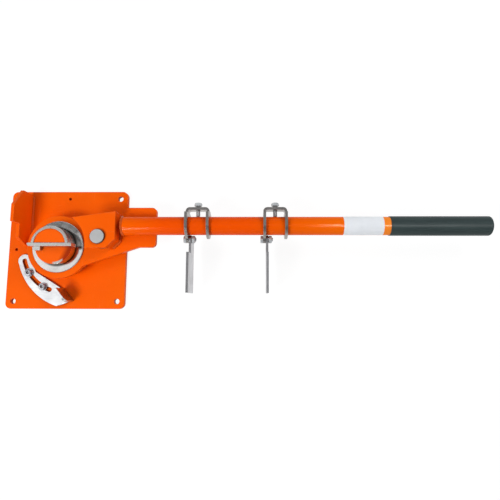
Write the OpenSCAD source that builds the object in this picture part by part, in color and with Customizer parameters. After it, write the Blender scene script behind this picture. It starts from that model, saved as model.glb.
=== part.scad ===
// Manual bar bending machine with a swinging lever and two length stops.
// Millimetres. The origin is where the pivot axis meets the underside of the base plate.
// X runs along the lever to the grip, Z is up.

/* [Base plate] */
// Side of the square base plate
plate_size = 240; // [220:1:280]
// Thickness of the base plate
plate_thickness = 10; // [8:0.5:16]
// Corner radius of the base plate
plate_corner_r = 11; // [6:0.5:14]
// Diameter of the bench bolt holes
bolt_hole_d = 11; // [9:0.5:13]
// Distance of the bolt holes from the plate edges
bolt_inset = 15; // [12:0.5:20]
// Diameter of the tapped jig holes
jig_hole_d = 6; // [4:0.5:8]
// Depth of the tapped jig holes
jig_hole_depth = 7; // [4:0.5:7]
// Distance of the jig holes from the plate edges
jig_inset = 15; // [12:0.5:20]

/* [Fence plate] */
// Thickness of the upright fence plate
fence_thickness = 6; // [5:0.5:10]
// Distance from the pivot axis to the fence face
fence_distance = 76; // [70:0.5:84]
// Height of the fence above the base plate
fence_height = 68; // [60:0.5:80]
// Height of the bar notch above the base plate
notch_height = 46; // [42:0.5:50]
// Height of the far end of the fence
fence_far_height = 39; // [30:0.5:50]
// Near foot of the fence, measured from the pivot
fence_near_y = -1.6; // [-10:0.1:6]
// Start of the level notch
notch_start_y = 18; // [12:0.5:24]
// Bar step at the end of the notch
notch_step_y = 46; // [44:0.5:54]
// End of the level top of the fence
fence_top_y = 79; // [70:0.5:90]
// Far end of the fence
fence_far_y = 113; // [100:0.5:116]

/* [Pivot and former] */
// Radius of the boss under the lever head
boss_r = 50; // [46:0.5:56]
// Height of the boss
boss_height = 27.7; // [24:0.1:30]
// Thickness of the thrust washer
washer_thickness = 2; // [1:0.1:4]
// Radius of the journal of the post
journal_r = 37; // [36:0.1:38]
// Radius of the post above the collar
post_r = 35; // [33:0.1:35.5]
// Height of the low half of the post above the collar seat
post_rise = 20.7; // [16:0.1:24]
// Height of the tall half of the post above the low half
core_rise = 15; // [12:0.5:16]
// Wall of the former half shell
shell_wall = 5; // [4:0.1:8]
// Height of the former half shell above the low half
shell_rise = 17; // [16.5:0.1:20]
// Bevel on the top of the shell
shell_bevel = 1; // [0.4:0.1:2]
// Outer radius of the retaining collar
collar_r = 50; // [46:0.5:56]
// Thickness of the retaining collar
collar_thickness = 3; // [2:0.1:5]
// Bevel on the collar edge
collar_bevel = 0.8; // [0.3:0.1:1.2]
// Length of the key plate
key_length = 83; // [74:0.5:90]
// Thickness of the key plate
key_thickness = 6; // [4:0.1:7]
// Depth of the key slot in the post
key_depth = 4; // [2:0.1:8]
// Bevel on the left end of the key plate
key_bevel = 3; // [1:0.1:5]
// Length of the key block
block_length = 12; // [8:0.5:13]
// Width of the key block
block_width = 7; // [5:0.1:8]
// Height of the key block
block_height = 8; // [5:0.1:10]
// Distance from the pivot axis to the middle of the key block
block_distance = 27; // [23:0.1:27]

/* [Arc stop] */
// The angles of this plate are measured from the -X axis.
// Thickness of the arc stop plate
arc_thickness = 5; // [4:0.5:6]
// Radius of the slot about the pivot
slot_r = 87; // [85:0.5:89]
// Width of the slot
slot_width = 9; // [8.6:0.1:10]
// Radial relief of the drilled slot ends
slot_relief = 0.2; // [0.1:0.05:0.3]
// Angle of the first slot end
slot_first = 16; // [14:0.5:18]
// Angle of the last slot end
slot_last = 70; // [69:0.5:72]
// Height of the rounded first end above the outer edge
arc_end_proud = 0.5; // [0.3:0.1:1]
// Radius of the outer edge beyond that of the slot
arc_outer_extra = 38.6; // [36:0.2:41]
// Centre of the outer edge along X
arc_outer_x = 25.8; // [24:0.2:28]
// Centre of the outer edge along Y
arc_outer_y = 4.5; // [3:0.1:6]
// Distance from the slot line to the inner edge by the first screw
arc_mid_wall = 11.6; // [10:0.2:14]
// Angle of the inner edge corner by the first screw
arc_mid_angle = 38; // [34:0.5:42]
// Distance from the slot line to the inner edge by the tab
arc_last_wall = 13; // [12:0.2:15]
// Angle of the inner edge corner by the tab
arc_last_angle = 76.6; // [75:0.1:78]
// Foot of the cut corner along X
arc_foot_x = -14.6; // [-18:0.1:-12]
// Foot of the cut corner along Y
arc_foot_y = -114.4; // [-116:0.1:-113]
// Side of the cut corner along X
arc_side_x = 0.5; // [-2:0.1:3]
// Side of the cut corner along Y
arc_side_y = -110.4; // [-112:0.1:-109]
// Direction of the tab face
tab_angle = -51; // [-53:0.5:-49]
// Distance from the pivot to the tab face line
tab_offset = 50.2; // [49.8:0.1:52]
// Start of the tab along its face line
tab_start = 61; // [58:0.5:64]
// Length of the tab
tab_length = 31; // [26:0.5:34]
// Height of the tab above the base plate
tab_height = 40; // [36:0.5:44]
// Rounding of the outer top corner of the tab
tab_corner_r = 8; // [4:0.5:12]
// Angle of the first clamp screw
screw_first = 33.3; // [32:0.1:34]
// Angle of the second clamp screw
screw_last = 60.6; // [59:0.1:61]
// Thread diameter of the clamp screws
arc_screw_d = 8; // [6:0.5:8]
// Head diameter of the clamp screws
arc_head_d = 13; // [11:0.5:14]
// Head height of the clamp screws
arc_head_height = 5; // [4:0.1:6]
// Socket width in the screw heads
arc_socket_d = 6; // [4:0.5:7]
// Depth of the sockets
arc_socket_depth = 3; // [1.5:0.1:3.5]
// Outer diameter of the clamp washers
arc_washer_d = 17; // [15:0.5:18]
// Thickness of the clamp washers
arc_washer_thickness = 1.6; // [1:0.1:2.5]

/* [Lever plates] */
// Radius of the round lever head
head_r = 61; // [59:0.5:63]
// Thickness of the lower lever plate
lever_thickness = 10; // [8:0.5:11]
// Slope of the lower edge of the arm
edge_angle = 18.4; // [17:0.2:19]
// Distance from the pivot to the lower edge line
edge_offset = 50; // [48:0.1:50]
// Fillet between the head and the lower edge
edge_fillet = 12; // [6:0.5:16]
// End of the tail
tail_end = 190; // [180:0.5:198]
// Length of the slope from the upper plate to the full width of the tail
tail_step = 13.2; // [8:0.1:18]
// Lower side of the tail
tail_low_y = -0.5; // [-4:0.1:4]
// Upper side of the tail
tail_high_y = 77.5; // [72:0.1:82]
// Corner radius of the tail
tail_corner_r = 9; // [5:0.5:14]
// Thickness of the upper lever plate
upper_thickness = 8; // [6:0.5:10]
// Clear height between the two lever plates
fork_height = 24; // [22:0.1:26]
// Radius of the hollow edge of the upper plate about the pivot
hollow_r = 64; // [60:0.5:66]
// Distance from the roller axis to the right edge of the upper plate
right_reach = 31.8; // [29:0.1:36]
// Upper side of the upper plate at its right edge
upper_right_y = 63.7; // [60:0.1:68]
// Hollow end of the upper side of the upper plate along X
upper_left_x = 35.6; // [33:0.1:38]
// Hollow end of the upper side of the upper plate along Y
upper_left_y = 52; // [48:0.1:56]
// Lower side of the upper plate at the hollow edge
upper_low_y = -6.8; // [-9:0.1:-6]
// Lower side of the upper plate at the cut corner
corner_y = -4.6; // [-6:0.1:-3.6]
// Thickness of the web
web_thickness = 5; // [4:0.1:5.6]
// Wall of the bush in the lever head
bush_wall = 4; // [2.5:0.1:6]

/* [Roller] */
// Roller axis along X
roller_x = 88; // [86.5:0.1:88.5]
// Roller axis along Y
roller_y = 15.5; // [15:0.1:17]
// Radius of the roller
roller_r = 19; // [17:0.1:19.6]
// Wall of the roller bush
roller_bush_wall = 2.5; // [1.5:0.1:4]
// Radius of the pin head
pin_head_r = 13.8; // [12.5:0.1:15]
// Height of the pin head above the upper plate
pin_proud = 5; // [2:0.1:7]
// Bevel on the pin head
pin_bevel = 1; // [0.3:0.1:1.8]
// Radius of the pin shank
pin_r = 10; // [8:0.1:11]
// Length of the pin below the lower plate
pin_tail = 5; // [4.5:0.1:8]
// Thickness of the circlip
circlip_thickness = 1.5; // [1:0.1:1.75]
// Depth of the circlip groove
circlip_groove = 1; // [0.6:0.1:1.4]
// Width of the circlip outside the pin
circlip_width = 3; // [2:0.1:4]

/* [Tube and grip] */
// Outer diameter of the lever tube
tube_d = 35; // [32:0.1:36]
// Wall of the lever tube
tube_wall = 3; // [2:0.1:4.5]
// Tube axis along Y
tube_y = 38; // [36:0.1:39]
// Distance from the web to the tube start
tube_standoff = 11.2; // [6:0.1:20]
// End of the grip
grip_end = 823; // [800:1:860]
// Length of the grip
grip_length = 188; // [160:1:200]
// Wall of the grip
grip_wall = 1; // [0.8:0.1:3]
// Thickness of the closed grip end
grip_cap = 4; // [3:0.1:8]
// Rounding of the grip end
grip_round = 3; // [1:0.1:4]
// Distance from the blank label to the grip
label_gap = 13; // [6:1:30]
// Length of the blank label
label_length = 74; // [50:1:76]
// Thickness of the blank label
label_thickness = 0.3; // [0.2:0.05:0.5]
// Angle that the label wraps around the tube
label_wrap = 170; // [90:5:300]

/* [Length stops] */
// Left side of the first stop
stop_1_x = 251.3; // [246:0.1:256]
// Left side of the second stop
stop_2_x = 398; // [394:0.1:402]
// Width of a bracket over its legs
bracket_width = 45.2; // [42:0.1:50]
// Thickness of the bracket strip
bracket_thickness = 5; // [4:0.1:6]
// Height of the bracket legs, which end round the tube
leg_height = 50; // [46:0.5:54]
// Radius of the ear that carries the swing bolt
ear_r = 7; // [6:0.1:8]
// Outer face of the bracket bridge from the tube axis
bridge_reach = 34.5; // [31:0.1:38]
// Height of the bracket bridge
bridge_height = 20; // [16:0.5:26]
// Length of the slope from the legs to the bridge
leg_slope = 3.5; // [2:0.1:6]
// Outer radius of the bends
bend_r = 8; // [7:0.1:9]
// Swing axis below the tube axis along Z
swing_drop_z = 9; // [8.5:0.1:10]
// Thread diameter of the swing bolts and clamp screws
bolt_d = 8; // [6:0.5:8]
// Width across the flats of the hexagon heads
hex_flats = 13; // [11:0.1:13]
// Height of the bolt heads
bolt_head = 5.3; // [4:0.1:6.5]
// Height of the nuts
nut_height = 6.5; // [5:0.1:7]
// Length of bolt beyond the nut
bolt_tail = 2; // [1:0.1:4]
// Height of the clamp screw heads
screw_head = 6; // [5:0.1:8]
// Distance of the clamp screw heads from the bridge
screw_stand = 3.6; // [2:0.1:8]

/* [Stop flags] */
// Thickness of a stop flag
flag_thickness = 4.4; // [3:0.1:6]
// Radius of the flag eye
eye_r = 8; // [7:0.1:8.2]
// End of the flag from the swing axis
flag_end = 102; // [80:0.5:110]
// Upper edge of the flag above the swing axis
flag_up = 34; // [28:0.1:34]
// Lower edge of the flag below the swing axis
flag_down = 30; // [20:0.1:34]

/* [Clearances] */
// Height gap between faces that slide on each other
slide_gap = 0.3; // [0.2:0.05:0.5]
// Gap under and over the arc stop plate
arc_gap = 0.2; // [0.1:0.05:0.4]
// Radial running fit of bushes and pins
running_fit = 0.05; // [0.02:0.01:0.1]
// Radial gap between the tube and the stop brackets
tube_gap = 0.3; // [0.2:0.05:0.6]
// Gap between the roller and the web
roller_room = 1.5; // [0.5:0.1:3]
// Gap between the flag eye and the tube
eye_gap = 0.78; // [0.4:0.01:1.5]
// Gap between a raised flag and the tube
flag_gap = 1.15; // [0.5:0.05:3]
// Gap between the clamp screw tip and the tube
tip_gap = 0.2; // [0.1:0.05:0.4]

/* [Hidden] */
$fn = 96;
// Overlap that keeps cutters clear of the faces they cut
eps = 1;
hex_sides = 6;

boss_top = plate_thickness + boss_height;
washer_top = boss_top + washer_thickness;
lever_z = washer_top + slide_gap;
lever_top = lever_z + lever_thickness;
collar_z = lever_top + slide_gap;
post_top = collar_z + post_rise;
core_top = post_top + core_rise;
shell_top = post_top + shell_rise;
core_r = post_r - shell_wall;
key_half = key_thickness / 2;
key_z = post_top - key_depth;
bush_r = journal_r + running_fit;
head_bore_r = bush_r + bush_wall;

arc_z = plate_thickness + arc_gap;
arc_top = arc_z + arc_thickness;
arc_washer_z = arc_top + arc_gap;
arc_head_z = arc_washer_z + arc_washer_thickness;
arc_outer_r = slot_r + arc_outer_extra;
// Radius of the rounded first end of the arc stop plate
arc_end_r = arc_outer_r - norm(arc_point(slot_r, slot_first) - [arc_outer_x, arc_outer_y]) + arc_end_proud;

upper_z = lever_top + fork_height;
upper_top = upper_z + upper_thickness;
pin_low_z = lever_z - pin_tail;
circlip_z = lever_z - slide_gap - circlip_thickness;
roller_height = fork_height - 2 * slide_gap;
upper_right_x = roller_x + right_reach;
tail_start = upper_right_x + tail_step;
// The cut corner runs at 45 degrees past the roller and the web's thickness
corner_run = (roller_r + roller_room + web_thickness) * sqrt(2);
corner_x = roller_x + corner_run + corner_y - roller_y;
corner_top_y = roller_y + right_reach - corner_run;
roller_bush_r = pin_r + running_fit;
roller_bore_r = roller_bush_r + roller_bush_wall;

tube_r = tube_d / 2;
tube_z = lever_top + tube_r;
tube_start = upper_right_x + tube_standoff;
tube_end = grip_end - grip_cap;
grip_start = grip_end - grip_length;
label_start = grip_start - label_gap - label_length;

swing_reach = tube_r + eye_r + eye_gap;
swing_drop_y = sqrt(pow(swing_reach, 2) - pow(swing_drop_z, 2));
swing_y = tube_y - swing_drop_y;
swing_z = tube_z - swing_drop_z;
flag_x = bracket_thickness + slide_gap;
nut_x = flag_x + flag_thickness + slide_gap;
flag_start = swing_drop_z + tube_r + flag_gap;
neck_half = swing_drop_y - tube_r - flag_gap;
bridge_y = tube_y + bridge_reach;
leg_half = leg_height / 2;
bridge_half = bridge_height / 2;
screw_tip_y = tube_y + tube_r + tip_gap;
screw_head_y = bridge_y + screw_stand;

orange = [1, 0.36, 0];
dark_orange = [0.86, 0.29, 0];
steel = [0.72, 0.73, 0.74];
zinc = [0.85, 0.86, 0.88];
bronze = [0.72, 0.52, 0.28];
dark = [0.22, 0.25, 0.25];
white = [0.95, 0.95, 0.95];

// Corner diameter of a hexagon with a width across its flats
function hex_d(flats) = flats / cos(180 / hex_sides);
// Point of the arc stop at an angle from the -X axis
function arc_point(r, a) = [-r * cos(a), -r * sin(a)];
// Point on a straight edge that lies at a distance from the pivot and runs in a direction
function on_edge(offset, angle, along) =
  [along * cos(angle) + offset * sin(angle), along * sin(angle) - offset * cos(angle)];

module tube_x(r, x0, x1) {
  translate([x0, 0, 0])
    rotate([0, 90, 0])
      cylinder(r = r, h = x1 - x0);
}

module hex_x(x0, height) {
  translate([x0, 0, 0])
    rotate([0, 90, 0])
      cylinder(d = hex_d(hex_flats), h = height, $fn = hex_sides);
}

// Sheet drawn in Y and Z, thick along X
module sheet_yz(points, thickness) {
  rotate([90, 0, 90])
    linear_extrude(height = thickness)
      polygon(points);
}

module rounded_slab(x0, x1, y0, y1, r, height) {
  translate([x0 + r, y0, 0])
    cube([x1 - x0 - 2 * r, y1 - y0, height]);
  translate([x0, y0 + r, 0])
    cube([x1 - x0, y1 - y0 - 2 * r, height]);
  for (x = [x0 + r, x1 - r])
    for (y = [y0 + r, y1 - r])
      translate([x, y, 0])
        cylinder(r = r, h = height);
}

module base_plate() {
  half = plate_size / 2;
  bolt = half - bolt_inset;
  jig = half - jig_inset;
  color(orange)
    difference() {
      rounded_slab(-half, half, -half, half, plate_corner_r, plate_thickness);
      for (x = [-bolt, bolt])
        for (y = [-bolt, bolt])
          translate([x, y, -eps])
            cylinder(d = bolt_hole_d, h = plate_thickness + 2 * eps);
      for (p = [[0, jig], [-jig, 0]])
        translate([p[0], p[1], plate_thickness - jig_hole_depth])
          cylinder(d = jig_hole_d, h = jig_hole_depth + eps);
    }
}

module fence_plate() {
  color(orange)
    translate([-fence_distance - fence_thickness, 0, plate_thickness])
      sheet_yz([[fence_near_y, 0], [notch_start_y, notch_height], [notch_step_y, notch_height],
        [notch_step_y, fence_height], [fence_top_y, fence_height], [fence_far_y, fence_far_height],
        [fence_far_y, 0]], fence_thickness);
}

module pivot_boss() {
  color(orange)
    translate([0, 0, plate_thickness])
      difference() {
        cylinder(r = boss_r, h = boss_height);
        translate([0, 0, -eps])
          cylinder(r = journal_r, h = boss_height + 2 * eps);
      }
}

module thrust_washer() {
  color(bronze)
    translate([0, 0, boss_top])
      difference() {
        cylinder(r = boss_r, h = washer_thickness);
        translate([0, 0, -eps])
          cylinder(r = journal_r, h = washer_thickness + 2 * eps);
      }
}

module centre_post() {
  color(orange)
    difference() {
      union() {
        translate([0, 0, plate_thickness])
          cylinder(r = journal_r, h = collar_z - plate_thickness);
        translate([0, 0, collar_z])
          cylinder(r = post_r, h = post_rise);
        difference() {
          translate([0, 0, post_top - eps])
            cylinder(r = core_r, h = core_rise + eps);
          translate([-post_r, -2 * post_r + key_half, post_top])
            cube([2 * post_r, 2 * post_r, core_rise + eps]);
        }
      }
      translate([-post_r - eps, -key_half, key_z])
        cube([2 * post_r + 2 * eps, key_thickness, core_rise + key_depth + eps]);
    }
}

module retaining_collar() {
  color(zinc)
    translate([0, 0, collar_z])
      rotate_extrude()
        polygon([[post_r, 0], [collar_r, 0], [collar_r, collar_thickness - collar_bevel],
          [collar_r - collar_bevel, collar_thickness], [post_r, collar_thickness]]);
}

module former_shell() {
  color(steel)
    difference() {
      translate([0, 0, post_top])
        rotate_extrude()
          polygon([[core_r, 0], [post_r, 0], [post_r, shell_rise - shell_bevel],
            [post_r - shell_bevel, shell_rise], [core_r, shell_rise]]);
      translate([-post_r - eps, -2 * post_r + key_half, post_top - eps])
        cube([2 * post_r + 2 * eps, 2 * post_r, shell_rise + 2 * eps]);
    }
}

module former_key() {
  color(steel)
    translate([-key_length / 2, -key_half, key_z])
      linear_extrude(height = shell_top - key_z)
        polygon([[0, key_bevel], [key_bevel, 0], [key_length, 0], [key_length, key_thickness],
          [0, key_thickness]]);
}

module key_block() {
  color(steel)
    translate([-block_distance - block_length / 2, -key_half - block_width, post_top])
      cube([block_length, block_width, block_height]);
}

module at_arc_screws() {
  for (a = [screw_first, screw_last])
    translate(arc_point(slot_r, a))
      children();
}

module arc_stop_screws() {
  shank = arc_head_z - plate_thickness;
  color(zinc)
    at_arc_screws()
      difference() {
        union() {
          translate([0, 0, plate_thickness])
            cylinder(d = arc_screw_d, h = shank);
          translate([0, 0, arc_head_z])
            cylinder(d = arc_head_d, h = arc_head_height);
        }
        translate([0, 0, arc_head_z + arc_head_height - arc_socket_depth])
          cylinder(d = hex_d(arc_socket_d), h = arc_socket_depth + eps, $fn = hex_sides);
      }
}

module arc_stop_washers() {
  color(zinc)
    at_arc_screws()
      translate([0, 0, arc_washer_z])
        difference() {
          cylinder(d = arc_washer_d, h = arc_washer_thickness);
          translate([0, 0, -eps])
            cylinder(d = arc_screw_d, h = arc_washer_thickness + 2 * eps);
        }
}

module arc_slot(width, height) {
  rotate([0, 0, 180 + slot_first])
    rotate_extrude(angle = slot_last - slot_first)
      translate([slot_r - width / 2, 0])
        square([width, height]);
  for (a = [slot_first, slot_last])
    translate(arc_point(slot_r, a))
      cylinder(r = width / 2 + slot_relief, h = height);
}

module arc_sheet_body() {
  // The sheet ends inside the tab, at half its thickness
  half = arc_thickness / 2;
  tab_last = tab_start + tab_length - half;
  side = [arc_side_x, arc_side_y];
  cut = [arc_foot_x, arc_foot_y] - side;
  // The line of the cut corner runs on past the outer edge
  beyond = side + cut * 2 * arc_outer_r / norm(cut);
  intersection() {
    translate([arc_outer_x, arc_outer_y, 0])
      cylinder(r = arc_outer_r, h = arc_thickness);
    linear_extrude(height = arc_thickness)
      polygon([arc_point(slot_r - arc_end_r + eps, slot_first),
        arc_point(slot_r - arc_mid_wall, arc_mid_angle), arc_point(slot_r - arc_last_wall, arc_last_angle),
        on_edge(tab_offset + half, tab_angle, tab_start + half),
        on_edge(tab_offset + half, tab_angle, tab_last), side, beyond,
        arc_point(slot_r + arc_end_r, slot_first)]);
  }
  translate(arc_point(slot_r, slot_first))
    cylinder(r = arc_end_r, h = arc_thickness);
}

module arc_tab() {
  height = tab_height - arc_gap;
  rotate([0, 0, tab_angle])
    translate([tab_start, -tab_offset - arc_thickness, 0]) {
      cube([tab_length, arc_thickness, height - tab_corner_r]);
      cube([tab_length - tab_corner_r, arc_thickness, height]);
      translate([tab_length - tab_corner_r, arc_thickness, height - tab_corner_r])
        rotate([90, 0, 0])
          cylinder(r = tab_corner_r, h = arc_thickness);
    }
}

module arc_stop() {
  color(zinc)
    translate([0, 0, arc_z])
      difference() {
        union() {
          arc_sheet_body();
          arc_tab();
        }
        translate([0, 0, -eps])
          arc_slot(slot_width, arc_thickness + 2 * eps);
      }
}

module edge_fillet_body() {
  along = sqrt(pow(head_r + edge_fillet, 2) - pow(edge_offset + edge_fillet, 2));
  centre = on_edge(edge_offset + edge_fillet, edge_angle, along);
  touch = centre * head_r / (head_r + edge_fillet);
  difference() {
    linear_extrude(height = lever_thickness)
      polygon([touch, centre, on_edge(edge_offset, edge_angle, along), on_edge(0, edge_angle, along / 2)]);
    translate([centre[0], centre[1], -eps])
      cylinder(r = edge_fillet, h = lever_thickness + 2 * eps);
  }
}

module lever_lower_plate() {
  low_along = (tail_low_y + edge_offset * cos(edge_angle)) / sin(edge_angle);
  low_end = on_edge(edge_offset, edge_angle, low_along);
  color(orange)
    translate([0, 0, lever_z])
      difference() {
        union() {
          cylinder(r = head_r, h = lever_thickness);
          edge_fillet_body();
          linear_extrude(height = lever_thickness)
            polygon([[0, 0], on_edge(edge_offset, edge_angle, 0), low_end, [low_end[0], tail_high_y],
              [tail_start, tail_high_y], [upper_right_x, upper_right_y], [upper_left_x, upper_left_y]]);
          rounded_slab(tail_start, tail_end, tail_low_y, tail_high_y, tail_corner_r, lever_thickness);
        }
        translate([0, 0, -eps])
          cylinder(r = head_bore_r, h = lever_thickness + 2 * eps);
        translate([roller_x, roller_y, -eps])
          cylinder(r = pin_r, h = lever_thickness + 2 * eps);
      }
}

module lever_upper_plate() {
  color(orange)
    translate([0, 0, upper_z])
      difference() {
        linear_extrude(height = upper_thickness)
          polygon([[upper_left_x, upper_low_y], [corner_x, corner_y], [upper_right_x, corner_top_y],
            [upper_right_x, upper_right_y], [upper_left_x, upper_left_y]]);
        translate([0, 0, -eps])
          cylinder(r = hollow_r, h = upper_thickness + 2 * eps);
        translate([roller_x, roller_y, -eps])
          cylinder(r = pin_head_r, h = upper_thickness + 2 * eps);
      }
}

module lever_web() {
  run = [upper_right_x - corner_x, corner_top_y - corner_y];
  across = [-run[1], run[0]] * web_thickness / norm(run);
  inner_x = upper_right_x - web_thickness;
  inner_y = corner_y + across[1] + (inner_x - corner_x - across[0]) * run[1] / run[0];
  color(orange)
    translate([0, 0, lever_top])
      linear_extrude(height = fork_height)
        polygon([[corner_x, corner_y], [upper_right_x, corner_top_y], [upper_right_x, upper_right_y],
          [inner_x, upper_right_y], [inner_x, inner_y], [corner_x, corner_y] + across]);
}

module lever_bush() {
  color(bronze)
    translate([0, 0, lever_z])
      difference() {
        cylinder(r = head_bore_r, h = lever_thickness);
        translate([0, 0, -eps])
          cylinder(r = bush_r, h = lever_thickness + 2 * eps);
      }
}

module roller_pin() {
  groove_r = pin_r - circlip_groove;
  groove_top = circlip_z + circlip_thickness;
  head_top = upper_top + pin_proud;
  color(steel)
    translate([roller_x, roller_y, 0])
      rotate_extrude()
        polygon([[0, pin_low_z], [pin_r, pin_low_z], [pin_r, circlip_z], [groove_r, circlip_z],
          [groove_r, groove_top], [pin_r, groove_top], [pin_r, upper_z], [pin_head_r, upper_z],
          [pin_head_r, head_top - pin_bevel], [pin_head_r - pin_bevel, head_top], [0, head_top]]);
}

module pin_circlip() {
  color(steel)
    translate([roller_x, roller_y, circlip_z])
      difference() {
        cylinder(r = pin_r + circlip_width, h = circlip_thickness);
        translate([0, 0, -eps])
          cylinder(r = pin_r - circlip_groove, h = circlip_thickness + 2 * eps);
        translate([0, -circlip_width / 2, -eps])
          cube([2 * pin_r, circlip_width, circlip_thickness + 2 * eps]);
      }
}

module bending_roller() {
  color(steel)
    translate([roller_x, roller_y, lever_top + slide_gap])
      difference() {
        cylinder(r = roller_r, h = roller_height);
        translate([0, 0, -eps])
          cylinder(r = roller_bore_r, h = roller_height + 2 * eps);
      }
}

module roller_bush() {
  color(bronze)
    translate([roller_x, roller_y, lever_top + slide_gap])
      difference() {
        cylinder(r = roller_bore_r, h = roller_height);
        translate([0, 0, -eps])
          cylinder(r = roller_bush_r, h = roller_height + 2 * eps);
      }
}

module lever_tube() {
  color(dark_orange)
    translate([0, tube_y, tube_z])
      difference() {
        tube_x(tube_r, tube_start, tube_end);
        tube_x(tube_r - tube_wall, tube_start - eps, tube_end + eps);
      }
}

module grip() {
  outer = tube_r + grip_wall;
  color(dark)
    translate([grip_start, tube_y, tube_z])
      rotate([0, 90, 0])
        difference() {
          union() {
            cylinder(r = outer, h = grip_length - grip_round);
            translate([0, 0, grip_length - grip_round])
              rotate_extrude()
                intersection() {
                  square([outer, grip_round]);
                  union() {
                    translate([outer - grip_round, 0])
                      circle(r = grip_round);
                    square([outer - grip_round, grip_round]);
                  }
                }
          }
          translate([0, 0, -eps])
            cylinder(r = tube_r, h = grip_length - grip_cap + eps);
        }
}

module blank_label() {
  color(white)
    translate([label_start, tube_y, tube_z])
      rotate([0, 90, 0])
        rotate([0, 0, 180 - label_wrap / 2])
          rotate_extrude(angle = label_wrap)
            translate([tube_r, 0])
              square([label_thickness, label_length]);
}

module bracket_leg() {
  sheet_yz([[tube_y, tube_z - leg_half], [bridge_y - bend_r - leg_slope, tube_z - leg_half],
    [bridge_y - bend_r, tube_z - bridge_half], [bridge_y - bend_r, tube_z + bridge_half],
    [bridge_y - bend_r - leg_slope, tube_z + leg_half], [tube_y, tube_z + leg_half]], bracket_thickness);
  translate([0, tube_y, tube_z])
    tube_x(leg_half, 0, bracket_thickness);
}

module bracket_bend() {
  rotate_extrude(angle = 90)
    translate([bend_r - bracket_thickness, 0])
      square([bracket_thickness, bridge_height]);
}

module stop_bracket(x0) {
  far_leg = bracket_width - bracket_thickness;
  color(zinc)
    translate([x0, 0, 0])
      difference() {
        union() {
          bracket_leg();
          translate([0, swing_y, swing_z])
            tube_x(ear_r, 0, bracket_thickness);
          translate([far_leg, 0, 0])
            bracket_leg();
          translate([bend_r, bridge_y - bracket_thickness, tube_z - bridge_half])
            cube([bracket_width - 2 * bend_r, bracket_thickness, bridge_height]);
          translate([bend_r, bridge_y - bend_r, tube_z - bridge_half])
            rotate([0, 0, 90])
              bracket_bend();
          translate([bracket_width - bend_r, bridge_y - bend_r, tube_z - bridge_half])
            bracket_bend();
        }
        translate([0, tube_y, tube_z])
          tube_x(tube_r + tube_gap, -eps, bracket_width + eps);
        translate([0, swing_y, swing_z])
          tube_x(bolt_d / 2, -eps, bracket_thickness + eps);
        translate([bracket_width / 2, bridge_y + eps, tube_z])
          rotate([90, 0, 0])
            cylinder(r = bolt_d / 2 + running_fit, h = bracket_thickness + 2 * eps);
      }
}

module stop_bolt(x0) {
  color(zinc)
    translate([x0, swing_y, swing_z]) {
      hex_x(-bolt_head, bolt_head);
      tube_x(bolt_d / 2, 0, nut_x + nut_height + bolt_tail);
    }
}

module stop_nut(x0) {
  color(zinc)
    translate([x0 + nut_x, swing_y, swing_z])
      difference() {
        hex_x(0, nut_height);
        tube_x(bolt_d / 2, -eps, nut_height + eps);
      }
}

module stop_screw(x0) {
  color(zinc)
    translate([x0 + bracket_width / 2, screw_tip_y, tube_z])
      rotate([-90, 0, 0]) {
        cylinder(d = bolt_d, h = screw_head_y - screw_tip_y);
        translate([0, 0, screw_head_y - screw_tip_y])
          cylinder(d = hex_d(hex_flats), h = screw_head, $fn = hex_sides);
      }
}

module stop_flag(x0) {
  color(zinc)
    translate([x0 + flag_x, swing_y, swing_z])
      difference() {
        union() {
          sheet_yz([[0, -flag_down], [0, neck_half], [-flag_start, neck_half], [-flag_start, flag_up],
            [-flag_end, flag_up], [-flag_end, -flag_down]], flag_thickness);
          tube_x(eye_r, 0, flag_thickness);
        }
        tube_x(bolt_d / 2 + running_fit, -eps, flag_thickness + eps);
      }
}

base_plate();
fence_plate();
pivot_boss();
thrust_washer();
centre_post();
retaining_collar();
former_shell();
former_key();
key_block();
arc_stop_screws();
arc_stop_washers();
arc_stop();
lever_lower_plate();
lever_upper_plate();
lever_web();
lever_bush();
roller_pin();
pin_circlip();
lever_tube();
grip();
blank_label();
bending_roller();
roller_bush();
stop_bracket(stop_1_x);  // stop_1_bracket
stop_bolt(stop_1_x);  // stop_1_bolt
stop_nut(stop_1_x);  // stop_1_nut
stop_screw(stop_1_x);  // stop_1_screw
stop_flag(stop_1_x);  // stop_1_flag
stop_bracket(stop_2_x);  // stop_2_bracket
stop_bolt(stop_2_x);  // stop_2_bolt
stop_nut(stop_2_x);  // stop_2_nut
stop_screw(stop_2_x);  // stop_2_screw
stop_flag(stop_2_x);  // stop_2_flag
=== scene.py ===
"""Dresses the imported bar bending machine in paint, bare metal and rubber, with its welds and screws."""

import math

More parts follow.
